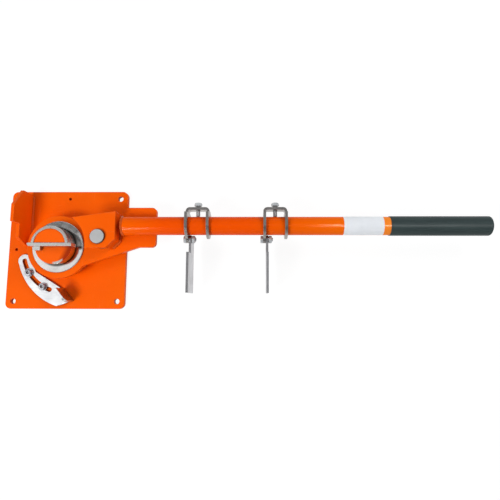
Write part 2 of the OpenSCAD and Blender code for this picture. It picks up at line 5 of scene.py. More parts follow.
import bpy
import numpy as np
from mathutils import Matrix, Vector


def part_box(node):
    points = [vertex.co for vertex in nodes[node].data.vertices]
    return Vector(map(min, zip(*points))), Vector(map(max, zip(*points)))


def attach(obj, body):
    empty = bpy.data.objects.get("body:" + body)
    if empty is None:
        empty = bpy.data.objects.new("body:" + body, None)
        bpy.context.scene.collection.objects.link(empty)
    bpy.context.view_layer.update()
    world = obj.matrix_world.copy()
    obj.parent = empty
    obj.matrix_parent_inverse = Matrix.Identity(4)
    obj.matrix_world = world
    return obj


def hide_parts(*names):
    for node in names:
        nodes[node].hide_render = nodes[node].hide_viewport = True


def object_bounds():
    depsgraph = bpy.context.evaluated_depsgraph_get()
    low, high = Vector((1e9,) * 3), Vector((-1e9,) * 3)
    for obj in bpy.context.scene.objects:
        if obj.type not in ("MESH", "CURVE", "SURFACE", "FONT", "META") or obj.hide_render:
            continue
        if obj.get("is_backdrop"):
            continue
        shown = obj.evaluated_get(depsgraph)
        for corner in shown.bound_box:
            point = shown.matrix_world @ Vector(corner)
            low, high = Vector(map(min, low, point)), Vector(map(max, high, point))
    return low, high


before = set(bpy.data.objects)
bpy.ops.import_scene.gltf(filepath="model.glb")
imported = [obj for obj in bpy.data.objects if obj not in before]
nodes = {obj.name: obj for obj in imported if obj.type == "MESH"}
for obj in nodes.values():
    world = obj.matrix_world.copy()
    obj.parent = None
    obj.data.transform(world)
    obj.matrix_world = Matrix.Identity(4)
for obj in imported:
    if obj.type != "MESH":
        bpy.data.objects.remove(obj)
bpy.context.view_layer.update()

MM = 0.001
TURN = 2 * math.pi
SIXTH = math.pi / 3


# Node trees


def add(tree, kind, settings=None, **links):
    """One shader node.

    Settings are its own properties; each link is a socket's constant or the output that feeds it.
    """
    made = tree.nodes.new(kind)
    for key, value in (settings or {}).items():
        setattr(made, key, value)
    for key, value in links.items():
        socket = made.inputs[key.replace("_", " ")]
        if isinstance(value, bpy.types.NodeSocket):
            tree.links.new(value, socket)
        else:
            socket.default_value = value
    return made


def mix_colour(tree, share, first, second):
    """Colour that goes from the first to the second as share goes from 0 to 1."""
    made = tree.nodes.new("ShaderNodeMix")
    made.data_type = "RGBA"
    for index, value in ((0, share), (6, first), (7, second)):
        if isinstance(value, bpy.types.NodeSocket):
            tree.links.new(value, made.inputs[index])
        else:
            made.inputs[index].default_value = value
    return made.outputs[2]


def spread(tree, value, low, high, to_low=0.0, to_high=1.0):
    """Value stretched from the span low to high onto the span to_low to to_high, and held at its ends."""
    made = add(tree, "ShaderNodeMapRange", {"clamp": True}, Value=value, From_Min=low, From_Max=high,
               To_Min=to_low, To_Max=to_high)
    return made.outputs["Result"]


def combine(tree, operation, first, second):
    """Result of one arithmetic step on two values."""
    made = tree.nodes.new("ShaderNodeMath")
    made.operation = operation
    for index, value in ((0, first), (1, second)):
        if isinstance(value, bpy.types.NodeSocket):
            tree.links.new(value, made.inputs[index])
        else:
            made.inputs[index].default_value = value
    return made.outputs[0]


def cloud(tree, vector, scale, detail=2.0, roughness=0.5):
    """Noise value, scale features to the metre."""
    return add(tree, "ShaderNodeTexNoise", Vector=vector, Scale=scale, Detail=detail,
               Roughness=roughness).outputs[0]


def ramp(tree, value, stops):
    """Colour that passes through each stop in turn, a place from 0 to 1 and the colour there."""
    made = add(tree, "ShaderNodeValToRGB", Fac=value)
    elements = made.color_ramp.elements
    for element, (spot, colour) in zip(elements, (stops[0], stops[-1])):
        element.position = spot
        element.color = colour
    for spot, colour in stops[1:-1]:
        elements.new(spot).color = colour
    return made.outputs["Color"]


def effect(name, inputs, outputs, build):
    """A node group with the named sockets. build(tree, given) returns the output for each output name."""
    tree = bpy.data.node_groups.new(name, "ShaderNodeTree")
    for label, kind, value in inputs:
        socket = tree.interface.new_socket(label, in_out="INPUT", socket_type=kind)
        if value is not None:
            socket.default_value = value
    for label, kind in outputs:
        tree.interface.new_socket(label, in_out="OUTPUT", socket_type=kind)
    given = tree.nodes.new("NodeGroupInput").outputs
    result = build(tree, given)
    end = tree.nodes.new("NodeGroupOutput")
    for label, socket in result.items():
        tree.links.new(socket, end.inputs[label])
    return tree


FLOAT, VECTOR = "NodeSocketFloat", "NodeSocketVector"


def stretched(tree, vector, scale):
    """Vector multiplied by a scale of its own on each axis."""
    made = add(tree, "ShaderNodeVectorMath", {"operation": "MULTIPLY"})
    tree.links.new(vector, made.inputs[0])
    made.inputs[1].default_value = scale
    return made.outputs[0]


def build_paint_film(tree, given):
    """Peel is a fine noise, mottle a broad one, and specks are where a third noise passes a threshold.

    Scuffs are the peaks of a noise drawn out along X and of one drawn out along Y.
    """
    peel = cloud(tree, given["Vector"], 520.0, 2.0, 0.5)
    broad = cloud(tree, given["Vector"], 11.0, 4.0, 0.55)
    speck = spread(tree, cloud(tree, given["Vector"], 310.0, 3.0, 0.6), 0.66, 0.74)
    along = cloud(tree, stretched(tree, given["Vector"], (18, 420, 420)), 1.0, 3.0, 0.55)
    across = cloud(tree, stretched(tree, given["Vector"], (380, 22, 380)), 1.0, 3.0, 0.55)
    scuff = spread(tree, combine(tree, "MAXIMUM", along, across), 0.66, 0.76)
    return {"Peel": peel, "Mottle": spread(tree, broad, 0.3, 0.7), "Speck": speck, "Scuff": scuff}


def build_worn_edges(tree, given):
    """Wear is how far the rounded normal leans from the true one, broken up by noise."""
    rounded = add(tree, "ShaderNodeBevel", {"samples": 6}, Radius=given["Radius"]).outputs[0]
    true = tree.nodes.new("ShaderNodeNewGeometry").outputs["Normal"]
    dot = add(tree, "ShaderNodeVectorMath", {"operation": "DOT_PRODUCT"})
    tree.links.new(rounded, dot.inputs[0])
    tree.links.new(true, dot.inputs[1])
    lean = combine(tree, "SUBTRACT", 1.0, dot.outputs["Value"])
    broken = spread(tree, cloud(tree, given["Vector"], 150.0, 4.0, 0.7), 0.42, 0.62)
    return {"Wear": combine(tree, "MULTIPLY", spread(tree, lean, 0.03, 0.2), broken), "Round": rounded}


def build_dirt_and_shade(tree, given):
    """Darkening where nearby surfaces close a point in, partly dirt and partly painted shade, thinned out by
    noise.
    """
    shut = add(tree, "ShaderNodeAmbientOcclusion", {"samples": 6}, Distance=given["Reach"]).outputs["AO"]
    patchy = spread(tree, cloud(tree, given["Vector"], 60.0, 4.0, 0.6), 0.3, 0.7, 0.35, 1.0)
    return {"DirtShade": combine(tree, "MULTIPLY", spread(tree, shut, 0.25, 0.8, 1.0, 0.0), patchy)}


def build_turned(tree, given):
    """Rings about the Z axis: noise read along far, the distance from that axis. Drift is a cloudy noise."""
    far = add(tree, "ShaderNodeVectorMath", {"operation": "LENGTH"})
    tree.links.new(stretched(tree, given["Vector"], (1, 1, 0)), far.inputs[0])
    line = add(tree, "ShaderNodeCombineXYZ", X=far.outputs["Value"]).outputs[0]
    ring = cloud(tree, line, 1900.0, 2.0, 0.7)
    drift = cloud(tree, given["Vector"], 45.0, 3.0, 0.6)
    return {"Ring": ring, "Drift": spread(tree, drift, 0.3, 0.7), "Far": far.outputs["Value"]}


def build_plating(tree, given):
    """Bloom is a soft cloudiness, grain a fine one, and scuffs are long thin noise along X."""
    bloom = cloud(tree, given["Vector"], 38.0, 4.0, 0.65)
    grain = cloud(tree, given["Vector"], 900.0, 2.0, 0.6)
    long = stretched(tree, given["Vector"], (60, 900, 900))
    scuff = spread(tree, cloud(tree, long, 1.0, 2.0, 0.6), 0.58, 0.72)
    return {"Bloom": spread(tree, bloom, 0.3, 0.7), "Grain": grain, "Scuff": scuff}


paint_film = effect("paint_film", [("Vector", VECTOR, None)],
                    [("Peel", FLOAT), ("Mottle", FLOAT), ("Speck", FLOAT), ("Scuff", FLOAT)],
                    build_paint_film)
worn_edges = effect("worn_edges", [("Vector", VECTOR, None), ("Radius", FLOAT, 1.0 * MM)],
                    [("Wear", FLOAT), ("Round", VECTOR)], build_worn_edges)
# Ambient occlusion darkening in corners and under things: partly dirt, partly painted shade.
dirt_and_shade = effect("dirt_and_shade", [("Vector", VECTOR, None), ("Reach", FLOAT, 10.0 * MM)], [("DirtShade", FLOAT)],
               build_dirt_and_shade)
turned_marks = effect("turned_marks", [("Vector", VECTOR, None)],
                      [("Ring", FLOAT), ("Drift", FLOAT), ("Far", FLOAT)], build_turned)
plating = effect("plating", [("Vector", VECTOR, None)],
                 [("Bloom", FLOAT), ("Grain", FLOAT), ("Scuff", FLOAT)], build_plating)


def place(tree, group, **links):
    """A node group placed in a material."""
    made = tree.nodes.new("ShaderNodeGroup")
    made.node_tree = group
    for key, value in links.items():
        if isinstance(value, bpy.types.NodeSocket):
            tree.links.new(value, made.inputs[key])
        else:
            made.inputs[key].default_value = value
    return made.outputs


def new_material(name):
    """A material with its shader and output, the shader's sockets and the object coordinates."""
    material = bpy.data.materials.new(name)
    material.use_nodes = True
    tree = material.node_tree
    tree.nodes.clear()
    shader = tree.nodes.new("ShaderNodeBsdfPrincipled")
    end = tree.nodes.new("ShaderNodeOutputMaterial")
    tree.links.new(shader.outputs[0], end.inputs["Surface"])
    here = tree.nodes.new("ShaderNodeTexCoord").outputs["Object"]
    return material, tree, shader.inputs, here


def bumped(tree, height, distance, strength, normal=None):
    """Normal that a height lifts off the surface."""
    made = add(tree, "ShaderNodeBump", Height=height, Distance=distance, Strength=strength)
    if normal is not None:
        tree.links.new(normal, made.inputs["Normal"])
    return made.outputs[0]


def rgb(red, green, blue):
    """Opaque colour from its linear red, green and blue."""
    return (red, green, blue, 1.0)


# Colours of the rubber, film and bronze, and those that wear and dirt bring, with painted shade and highlight
RUBBED_AND_LIT_ORANGE = rgb(0.9, 0.34, 0.15)
SCUFFED_ORANGE = rgb(0.95, 0.3, 0.09)
SHADED_ORANGE = rgb(0.3, 0.018, 0.0002)
DIRT_AND_SHADE = rgb(0.16, 0.045, 0.008)
MACHINED_STEEL = rgb(0.62, 0.61, 0.58)
STEEL_EDGE = rgb(0.86, 0.86, 0.85)
PAINTED_SHADE_DARK = rgb(0.035, 0.025, 0.018)
ZINC_SCUFF = rgb(0.5, 0.5, 0.52)
ZINC_DIRT_AND_SHADE = rgb(0.1, 0.075, 0.06)
ZINC_EDGE = rgb(0.88, 0.88, 0.87)
RUBBER = rgb(0.027, 0.041, 0.042)
RUBBER_RUBBED = rgb(0.042, 0.063, 0.063)
RUBBER_DUST = rgb(0.056, 0.077, 0.077)
RUBBER_EDGE = rgb(0.14, 0.15, 0.15)
FILM = rgb(0.85, 0.88, 0.92)
FILM_HANDLED = rgb(0.79, 0.82, 0.86)
FILM_EDGE = rgb(0.55, 0.47, 0.4)
BRONZE_DARK = rgb(0.36, 0.21, 0.08)
BRONZE_LIGHT = rgb(0.55, 0.35, 0.15)
BRONZE_PORE = rgb(0.05, 0.03, 0.015)

# Where the post is rubbed bare and where shade is painted on it
RUB_X = 3.0 * MM
RUB_FROM, RUB_TO = 8.0 * MM, 14.0 * MM
RUB_RAG = 5.0 * MM
RIM_FROM, RIM_TO = -1.0 * MM, 20.0 * MM
RIM_RISE, RIM_FALL = 5.0 * MM, 3.0 * MM
RIM_WIDTH = 3.2 * MM
RIM_SOFT = 1.0 * MM
SHADE_X = 28.0 * MM
SHADE_SOFT = 5.0 * MM
SHADE_LEAN = -0.5
SHADE_SHARE = 0.9
# The post's box is as wide as the journal at its foot, and the post stands back from that by one step.
JOURNAL_STEP = 2.0 * MM
post_low, post_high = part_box("centre_post")
POST_R = (post_high.x - post_low.x) / 2 - JOURNAL_STEP


def upright_faces(tree):
    """Mask of the faces that stand upright."""
    normal = add(tree, "ShaderNodeSeparateXYZ",
                 Vector=tree.nodes.new("ShaderNodeNewGeometry").outputs["Normal"]).outputs
    return combine(tree, "LESS_THAN", combine(tree, "ABSOLUTE", normal["Z"], 0.0), 0.5)


def post_marks(tree, here):
    """Masks of the post's bare steel and of the shade painted on it.

    Bare are its side on the far half, a ragged patch of its side on the near half and a strip of the near
    half's rim. Painted shade lies past that strip, on the near half's top, behind a line that leans.
    """
    apart = add(tree, "ShaderNodeSeparateXYZ", Vector=here).outputs
    upright = upright_faces(tree)
    level = combine(tree, "SUBTRACT", 1.0, upright)
    far_half = combine(tree, "GREATER_THAN", apart["Y"], 0.0)
    near_half = combine(tree, "SUBTRACT", 1.0, far_half)
    rag = spread(tree, cloud(tree, here, 90.0, 4.0, 0.6), 0.3, 0.7, 0.0, RUB_RAG)
    from_rub = combine(tree, "ABSOLUTE", combine(tree, "SUBTRACT", apart["X"], RUB_X), 0.0)
    rubbed = spread(tree, combine(tree, "ADD", from_rub, rag), RUB_FROM, RUB_TO, 1.0, 0.0)
    side = combine(tree, "MULTIPLY", upright, combine(tree, "MAXIMUM", far_half, rubbed))
    far = place(tree, turned_marks, Vector=here)["Far"]
    rim = spread(tree, far, POST_R - RIM_WIDTH - RIM_SOFT, POST_R - RIM_WIDTH)
    rim = combine(tree, "MULTIPLY", rim, spread(tree, apart["X"], RIM_FROM, RIM_FROM + RIM_RISE))
    rim = combine(tree, "MULTIPLY", rim, spread(tree, apart["X"], RIM_TO - RIM_FALL, RIM_TO, 1.0, 0.0))
    near_top = combine(tree, "MULTIPLY", level, near_half)
    bare = combine(tree, "MAXIMUM", side, combine(tree, "MULTIPLY", near_top, rim))
    # The darker zone on the near half's top is painted shade.
    leaning = combine(tree, "ADD", apart["X"], combine(tree, "MULTIPLY", apart["Y"], SHADE_LEAN))
    painted_shade = spread(tree, leaning, SHADE_X - SHADE_SOFT, SHADE_X + SHADE_SOFT, 0.0, SHADE_SHARE)
    return bare, combine(tree, "MULTIPLY", near_top, painted_shade)


def painted(name, fresh, deep, rough, shine, dirt_shade_reach, dirt_shade_share, chipped_and_lit=0.55, marks=None, tint_and_light=None):
    """Sprayed enamel: two oranges mottled, an orange-peel bump, chipped edges partly lightened as a painted
    highlight, and darkening in the corners that is partly dirt and partly painted shade.

    Over a span in X that may be given, the paint passes through a list of tones, partly its own tint and
    partly painted light. Where marks is given, it makes the masks of the piece's bare steel and of the shade
    painted on its paint.
    """
    material, tree, shader, here = new_material(name)
    film = place(tree, paint_film, Vector=here)
    edges = place(tree, worn_edges, Vector=here, Radius=1.1 * MM)
    dirt_shade = place(tree, dirt_and_shade, Vector=here, Reach=dirt_shade_reach)
    colour = mix_colour(tree, film["Mottle"], deep, fresh)
    if tint_and_light:
        start, stop, tones = tint_and_light
        along = add(tree, "ShaderNodeSeparateXYZ", Vector=here).outputs["X"]
        # Tones along X: partly the paint's own tint, partly painted light.
        colour = mix_colour(tree, 0.85, colour, ramp(tree, spread(tree, along, start, stop), tones))
    colour = mix_colour(tree, combine(tree, "MULTIPLY", film["Scuff"], 0.22), colour, SCUFFED_ORANGE)
    colour = mix_colour(tree, combine(tree, "MULTIPLY", film["Speck"], 0.3), colour, DIRT_AND_SHADE)
    # Corners darkened by ambient occlusion: partly dirt, partly painted shade.
    soiled_and_shaded = combine(tree, "MULTIPLY", dirt_shade["DirtShade"], dirt_shade_share)
    colour = mix_colour(tree, soiled_and_shaded, colour, DIRT_AND_SHADE)
    # Edges lightened to pale orange: partly chipped paint, partly a painted highlight.
    chips_and_edge_light = combine(tree, "MULTIPLY", edges["Wear"], chipped_and_lit)
    colour = mix_colour(tree, chips_and_edge_light, colour, RUBBED_AND_LIT_ORANGE)
    if marks:
        bare, shade_mask = marks(tree, here)
        # The post's darker zone is painted shade.
        colour = mix_colour(tree, shade_mask, colour, SHADED_ORANGE)
        colour = mix_colour(tree, bare, colour, MACHINED_STEEL)
        tree.links.new(bare, shader["Metallic"])
    tree.links.new(colour, shader["Base Color"])
    dull = spread(tree, film["Mottle"], 0.0, 1.0, rough + 0.07, rough)
    dull = combine(tree, "ADD", dull, combine(tree, "MULTIPLY", film["Scuff"], 0.15))
    tree.links.new(dull, shader["Roughness"])
    shader["Specular IOR Level"].default_value = shine
    tree.links.new(bumped(tree, film["Peel"], 0.08 * MM, 0.22, edges["Round"]), shader["Normal"])
    return material


def bare_steel(name, bright, shade, rough, centre, shade_ring_from=None, shade_ring_to=None):
    """Turned steel: rings about an upright axis at centre, with cloudy handling marks and bright edges.

    Where two distances from that axis are given, a dark ring of painted shade lies at the first and past it,
    on the side away from the second, where the steel is clean.
    """
    material, tree, shader, here = new_material(name)
    moved = add(tree, "ShaderNodeMapping", Vector=here, Location=(-centre[0], -centre[1], 0)).outputs[0]
    turned = place(tree, turned_marks, Vector=moved)
    edges = place(tree, worn_edges, Vector=here, Radius=0.7 * MM)
    colour = mix_colour(tree, turned["Drift"], shade, bright)
    colour = mix_colour(tree, combine(tree, "MULTIPLY", edges["Wear"], 0.6), colour, STEEL_EDGE)
    # The dark ring is painted shade.
    if shade_ring_from:
        shade_mask = spread(tree, turned["Far"], shade_ring_from, shade_ring_to, 0.9, 0.0)
        colour = mix_colour(tree, shade_mask, colour, PAINTED_SHADE_DARK)
    tree.links.new(colour, shader["Base Color"])
    shader["Metallic"].default_value = 1.0
    mean = combine(tree, "ADD", turned["Ring"], turned["Drift"])
    tree.links.new(spread(tree, mean, 0.4, 1.6, rough - 0.06, rough + 0.1), shader["Roughness"])
    tree.links.new(bumped(tree, turned["Ring"], 0.03 * MM, 0.1, edges["Round"]), shader["Normal"])
    return material


def zinc_plated(name, bright, shade, rough, dirt_shade_share, side_shade=None, metal=1.0):
    """Zinc on steel: a cloudy bloom, fine grain, faint scuffs along X, corners darkened partly by dirt and
    partly as painted shade, and rubbed edges.

    Where a side tone is given, it is painted on the upright faces as painted shade. Metal is the share that
    shines as bare metal, and the rest is a chalky skin.
    """
    material, tree, shader, here = new_material(name)
    plate = place(tree, plating, Vector=here)
    edges = place(tree, worn_edges, Vector=here, Radius=0.8 * MM)
    dirt_shade = place(tree, dirt_and_shade, Vector=here, Reach=6 * MM)
    colour = mix_colour(tree, plate["Bloom"], shade, bright)
    colour = mix_colour(tree, combine(tree, "MULTIPLY", plate["Scuff"], 0.35), colour, ZINC_SCUFF)
    # The darker tone of the upright faces is painted shade.
    if side_shade:
        colour = mix_colour(tree, upright_faces(tree), colour, side_shade)
    # Corners darkened by ambient occlusion: partly dirt, partly painted shade.
    dirty_and_shaded = combine(tree, "MULTIPLY", dirt_shade["DirtShade"], dirt_shade_share)
    colour = mix_colour(tree, dirty_and_shaded, colour, ZINC_DIRT_AND_SHADE)
    colour = mix_colour(tree, combine(tree, "MULTIPLY", edges["Wear"], 0.5), colour, ZINC_EDGE)
    tree.links.new(colour, shader["Base Color"])
    shader["Metallic"].default_value = metal
    dull = spread(tree, plate["Bloom"], 0.0, 1.0, rough + 0.12, rough)
    dull = combine(tree, "ADD", dull, combine(tree, "MULTIPLY", plate["Scuff"], 0.1))
    tree.links.new(dull, shader["Roughness"])
    tree.links.new(bumped(tree, plate["Grain"], 0.04 * MM, 0.3, edges["Round"]), shader["Normal"])
    return material


def rubber_grip(name):
    """Moulded rubber: slate grey with a fine pebble, faint lengthwise rub marks and pale dust."""
    material, tree, shader, here = new_material(name)
    pebble = cloud(tree, here, 1500.0, 2.0, 0.6)
    rubbed = add(tree, "ShaderNodeMapping", Vector=here, Scale=(9, 160, 160)).outputs[0]
    rub = spread(tree, cloud(tree, rubbed, 1.0, 4.0, 0.6), 0.35, 0.7)
    blot = spread(tree, cloud(tree, here, 30.0, 4.0, 0.6), 0.3, 0.75)
    colour = mix_colour(tree, rub, RUBBER, RUBBER_RUBBED)
    colour = mix_colour(tree, combine(tree, "MULTIPLY", blot, 0.25), colour, RUBBER_DUST)
    edges = place(tree, worn_edges, Vector=here, Radius=1.5 * MM)
    colour = mix_colour(tree, combine(tree, "MULTIPLY", edges["Wear"], 0.3), colour, RUBBER_EDGE)
    tree.links.new(colour, shader["Base Color"])
    tree.links.new(spread(tree, rub, 0.0, 1.0, 0.46, 0.36), shader["Roughness"])
    shader["Specular IOR Level"].default_value = 0.12
    tree.links.new(bumped(tree, pebble, 0.1 * MM, 0.35, edges["Round"]), shader["Normal"])
    return material


def label_film(name):
    """Blank white film: a fine paper tooth, faint handling grey and darker edges."""
    material, tree, shader, here = new_material(name)
    tooth = cloud(tree, here, 1300.0, 2.0, 0.6)
    smear = spread(tree, cloud(tree, here, 48.0, 4.0, 0.6), 0.35, 0.75)
    edges = place(tree, worn_edges, Vector=here, Radius=0.8 * MM)
    colour = mix_colour(tree, smear, FILM, FILM_HANDLED)
    colour = mix_colour(tree, combine(tree, "MULTIPLY", edges["Wear"], 0.5), colour, FILM_EDGE)
    tree.links.new(colour, shader["Base Color"])
    tree.links.new(spread(tree, smear, 0.0, 1.0, 0.34, 0.48), shader["Roughness"])
    tree.links.new(bumped(tree, tooth, 0.03 * MM, 0.2), shader["Normal"])
    return material


def oiled_bronze(name):
    """Sintered bronze: brown-gold with dark pores and an uneven sheen."""
    material, tree, shader, here = new_material(name)
    pores = spread(tree, cloud(tree, here, 1400.0, 3.0, 0.6), 0.55, 0.68)
    tone = spread(tree, cloud(tree, here, 70.0, 3.0, 0.6), 0.3, 0.7)
    colour = mix_colour(tree, tone, BRONZE_DARK, BRONZE_LIGHT)
    colour = mix_colour(tree, combine(tree, "MULTIPLY", pores, 0.7), colour, BRONZE_PORE)
    tree.links.new(colour, shader["Base Color"])
    shader["Metallic"].default_value = 1.0
    tree.links.new(spread(tree, tone, 0.0, 1.0, 0.28, 0.42), shader["Roughness"])
    tree.links.new(bumped(tree, pores, 0.05 * MM, 0.4), shader["Normal"])
    return material


ORANGE = rgb(0.94, 0.122, 0.0004)
ORANGE_DEEP = rgb(0.9, 0.106, 0.0003)
PIVOT = (0.0, 0.0)
pin_low, pin_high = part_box("roller_pin")
PIN = ((pin_low.x + pin_high.x) / 2, (pin_low.y + pin_high.y) / 2)
PIN_R = (pin_high.x - pin_low.x) / 2

plate_paint = painted("plate_paint", ORANGE, ORANGE_DEEP, rough=0.4, shine=0.08, dirt_shade_reach=12 * MM,
                      dirt_shade_share=0.5)
post_paint = painted("post_paint", ORANGE, ORANGE_DEEP, rough=0.3, shine=0.12, dirt_shade_reach=12 * MM,
                     dirt_shade_share=0.8, marks=post_marks)
# Tones along the tube: its own tint from red-orange to yellow-orange, with painted light in the lighter tone
# at the root and the pale tone by the grip.
TUBE_TINT_AND_LIGHT = [
    (0.0, rgb(0.92, 0.118, 0.0004)),
    (0.16, rgb(0.86, 0.074, 0.0002)),
    (0.48, rgb(0.86, 0.08, 0.0002)),
    (0.83, rgb(0.93, 0.153, 0.0007)),
    (1.0, rgb(0.98, 0.29, 0.03)),
]
tube_low, tube_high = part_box("lever_tube")
tube_paint = painted("tube_paint", rgb(0.9, 0.112, 0.0004), rgb(0.86, 0.098, 0.0003), rough=0.15, shine=0.06,
                     dirt_shade_reach=5 * MM, dirt_shade_share=0.35,
                     tint_and_light=(tube_low.x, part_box("grip")[0].x, TUBE_TINT_AND_LIGHT))
weld_paint = painted("weld_paint", rgb(0.8, 0.105, 0.002), rgb(0.5, 0.07, 0.003), rough=0.2, shine=0.3,
                     dirt_shade_reach=5 * MM, dirt_shade_share=0.6, chipped_and_lit=0.08)
# The collar's dark ring round the post is painted shade.
collar_steel = bare_steel("collar_steel", rgb(0.67, 0.67, 0.66), rgb(0.48, 0.465, 0.45), rough=0.13,
                          centre=PIVOT, shade_ring_from=POST_R + 1.5 * MM, shade_ring_to=POST_R + 5 * MM)
former_steel = bare_steel("former_steel", rgb(0.74, 0.73, 0.71), rgb(0.6, 0.59, 0.57), rough=0.28,
                          centre=PIVOT)
# The pin's dark rim is a painted shadow gap.
pin_steel = bare_steel("pin_steel", rgb(0.94, 0.95, 0.95), rgb(0.86, 0.87, 0.87), rough=0.5, centre=PIN,
                       shade_ring_from=PIN_R - 0.5 * MM, shade_ring_to=PIN_R - 1.1 * MM)
roller_steel = bare_steel("roller_steel", rgb(0.8, 0.8, 0.8), rgb(0.7, 0.7, 0.7), rough=0.34, centre=PIN)
# The arc stop's upright faces get a darker tone as painted shade.
arc_zinc = zinc_plated("arc_zinc", rgb(0.94, 0.95, 0.96), rgb(0.84, 0.85, 0.87), rough=0.26, dirt_shade_share=0.3,
                       side_shade=rgb(0.5, 0.46, 0.44))
flag_zinc = zinc_plated("flag_zinc", rgb(0.56, 0.56, 0.58), rgb(0.42, 0.42, 0.43), rough=0.28, dirt_shade_share=0.6)
bracket_zinc = zinc_plated("bracket_zinc", rgb(0.43, 0.41, 0.39), rgb(0.31, 0.29, 0.28), rough=0.28,
                           dirt_shade_share=0.6)
screw_zinc = zinc_plated("screw_zinc", rgb(0.67, 0.7, 0.71), rgb(0.47, 0.49, 0.51), rough=0.42,
                         dirt_shade_share=0.7, metal=0.35)
socket_zinc = zinc_plated("socket_zinc", rgb(0.84, 0.86, 0.9), rgb(0.5, 0.5, 0.54), rough=0.16,
                          dirt_shade_share=0.9)
grip_rubber = rubber_grip("grip_rubber")
blank_film = label_film("blank_film")
bronze = oiled_bronze("bronze")

FINISHES = {
    plate_paint: ["base_plate", "fence_plate", "pivot_boss", "lever_lower_plate", "lever_upper_plate",
                  "lever_web"],
    post_paint: ["centre_post"],
    tube_paint: ["lever_tube"],
    collar_steel: ["retaining_collar"],
    former_steel: ["former_shell", "former_key", "key_block"],
    pin_steel: ["roller_pin"],
    roller_steel: ["pin_circlip", "bending_roller"],
    arc_zinc: ["arc_stop"],
    flag_zinc: ["stop_1_flag", "stop_2_flag"],
    bracket_zinc: ["stop_1_bracket", "stop_2_bracket"],
    screw_zinc: ["stop_1_bolt", "stop_2_bolt", "stop_1_nut", "stop_2_nut", "stop_1_screw", "stop_2_screw"],
    socket_zinc: ["arc_stop_washers", "arc_stop_screws"],
    grip_rubber: ["grip"],
    blank_film: ["blank_label"],
    bronze: ["thrust_washer", "lever_bush", "roller_bush"],
}
for finish, names in FINISHES.items():
    for name in names:
        for part_slot in nodes[name].material_slots:
            part_slot.material = finish


# Surfaces


SHARP_ANGLE = math.radians(32)


def skin(rows, cols):
    """Faces of a grid that closes round its columns, with a pole before its first row and one after its last.

    The quads between the rows come first, then the fan of triangles round each pole.
    """
    i, j = np.meshgrid(np.arange(rows - 1), np.arange(cols), indexing="ij")
    after = (j + 1) % cols
    quads = np.stack([i * cols + j, i * cols + after, (i + 1) * cols + after, (i + 1) * cols + j], -1)
    ring = np.arange(cols) + 1
    follow = np.roll(ring, -1)
    last_row = (rows - 1) * cols
    first_fan = np.stack([np.zeros_like(ring), follow, ring], -1)
    last_fan = np.stack([np.full_like(ring, rows * cols + 1), ring + last_row, follow + last_row], -1)
    return [quads.reshape(-1, 4) + 1, first_fan, last_fan]


def ring_skin(rows, cols):
    """Faces of a grid that closes round its columns and round its rows."""
    i, j = np.meshgrid(np.arange(rows), np.arange(cols), indexing="ij")
    after = (j + 1) % cols
    below = (i + 1) % rows
    quads = np.stack([i * cols + j, i * cols + after, below * cols + after, below * cols + j], -1)
    return [quads.reshape(-1, 4)]


def make_piece(name, shells, body, material):
    """One object from closed shells, each its points and its blocks of faces, sharp edges kept by angle."""
    points, faces = [], []
    shift = 0
    for shell_points, blocks in shells:
        points.append(shell_points)
        for block in blocks:
            faces += (block + shift).tolist()
        shift += len(shell_points)
    mesh = bpy.data.meshes.new(name)
    mesh.from_pydata(np.concatenate(points).tolist(), [], faces)
    mesh.polygons.foreach_set("use_smooth", np.ones(len(mesh.polygons), bool))
    mesh.set_sharp_from_angle(angle=SHARP_ANGLE)
    mesh.validate()
    mesh.update()
    made = bpy.data.objects.new(name, mesh)
    made.data.materials.append(material)
    bpy.context.scene.collection.objects.link(made)
    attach(made, body)
    return made


def along_axis(origin, axis, side, distance, radius, angle):
    """Points at a distance along an axis and a radius round it, where angle 0 points to side."""
    axis, side = np.asarray(axis, float), np.asarray(side, float)
    up = np.cross(axis, side)
    offset = np.cos(angle)[..., None] * side + np.sin(angle)[..., None] * up
    return np.asarray(origin, float) + distance[..., None] * axis + radius[..., None] * offset


def hex_radius(angle, flats):
    """Radius of a hexagon with a corner at angle 0.

    It is half the distance across the flats over the cosine of the angle from the middle of a flat.
    """
    return flats / 2 / np.cos(angle % SIXTH - SIXTH / 2)


def thread_radius(distance, angle, outer, depth, pitch):
    """Outer radius less a triangular groove that winds round once in a pitch."""
    phase = (distance / pitch - angle / TURN) % 1.0
    return outer - depth * (1 - np.abs(2 * phase - 1))


COLUMNS = 72
THREAD_ROWS = 8
SCREW_GROOVE = 0.55
NUT_GROOVE = 0.3
KNURLS = 36
KNURL_COLUMNS = 4 * KNURLS


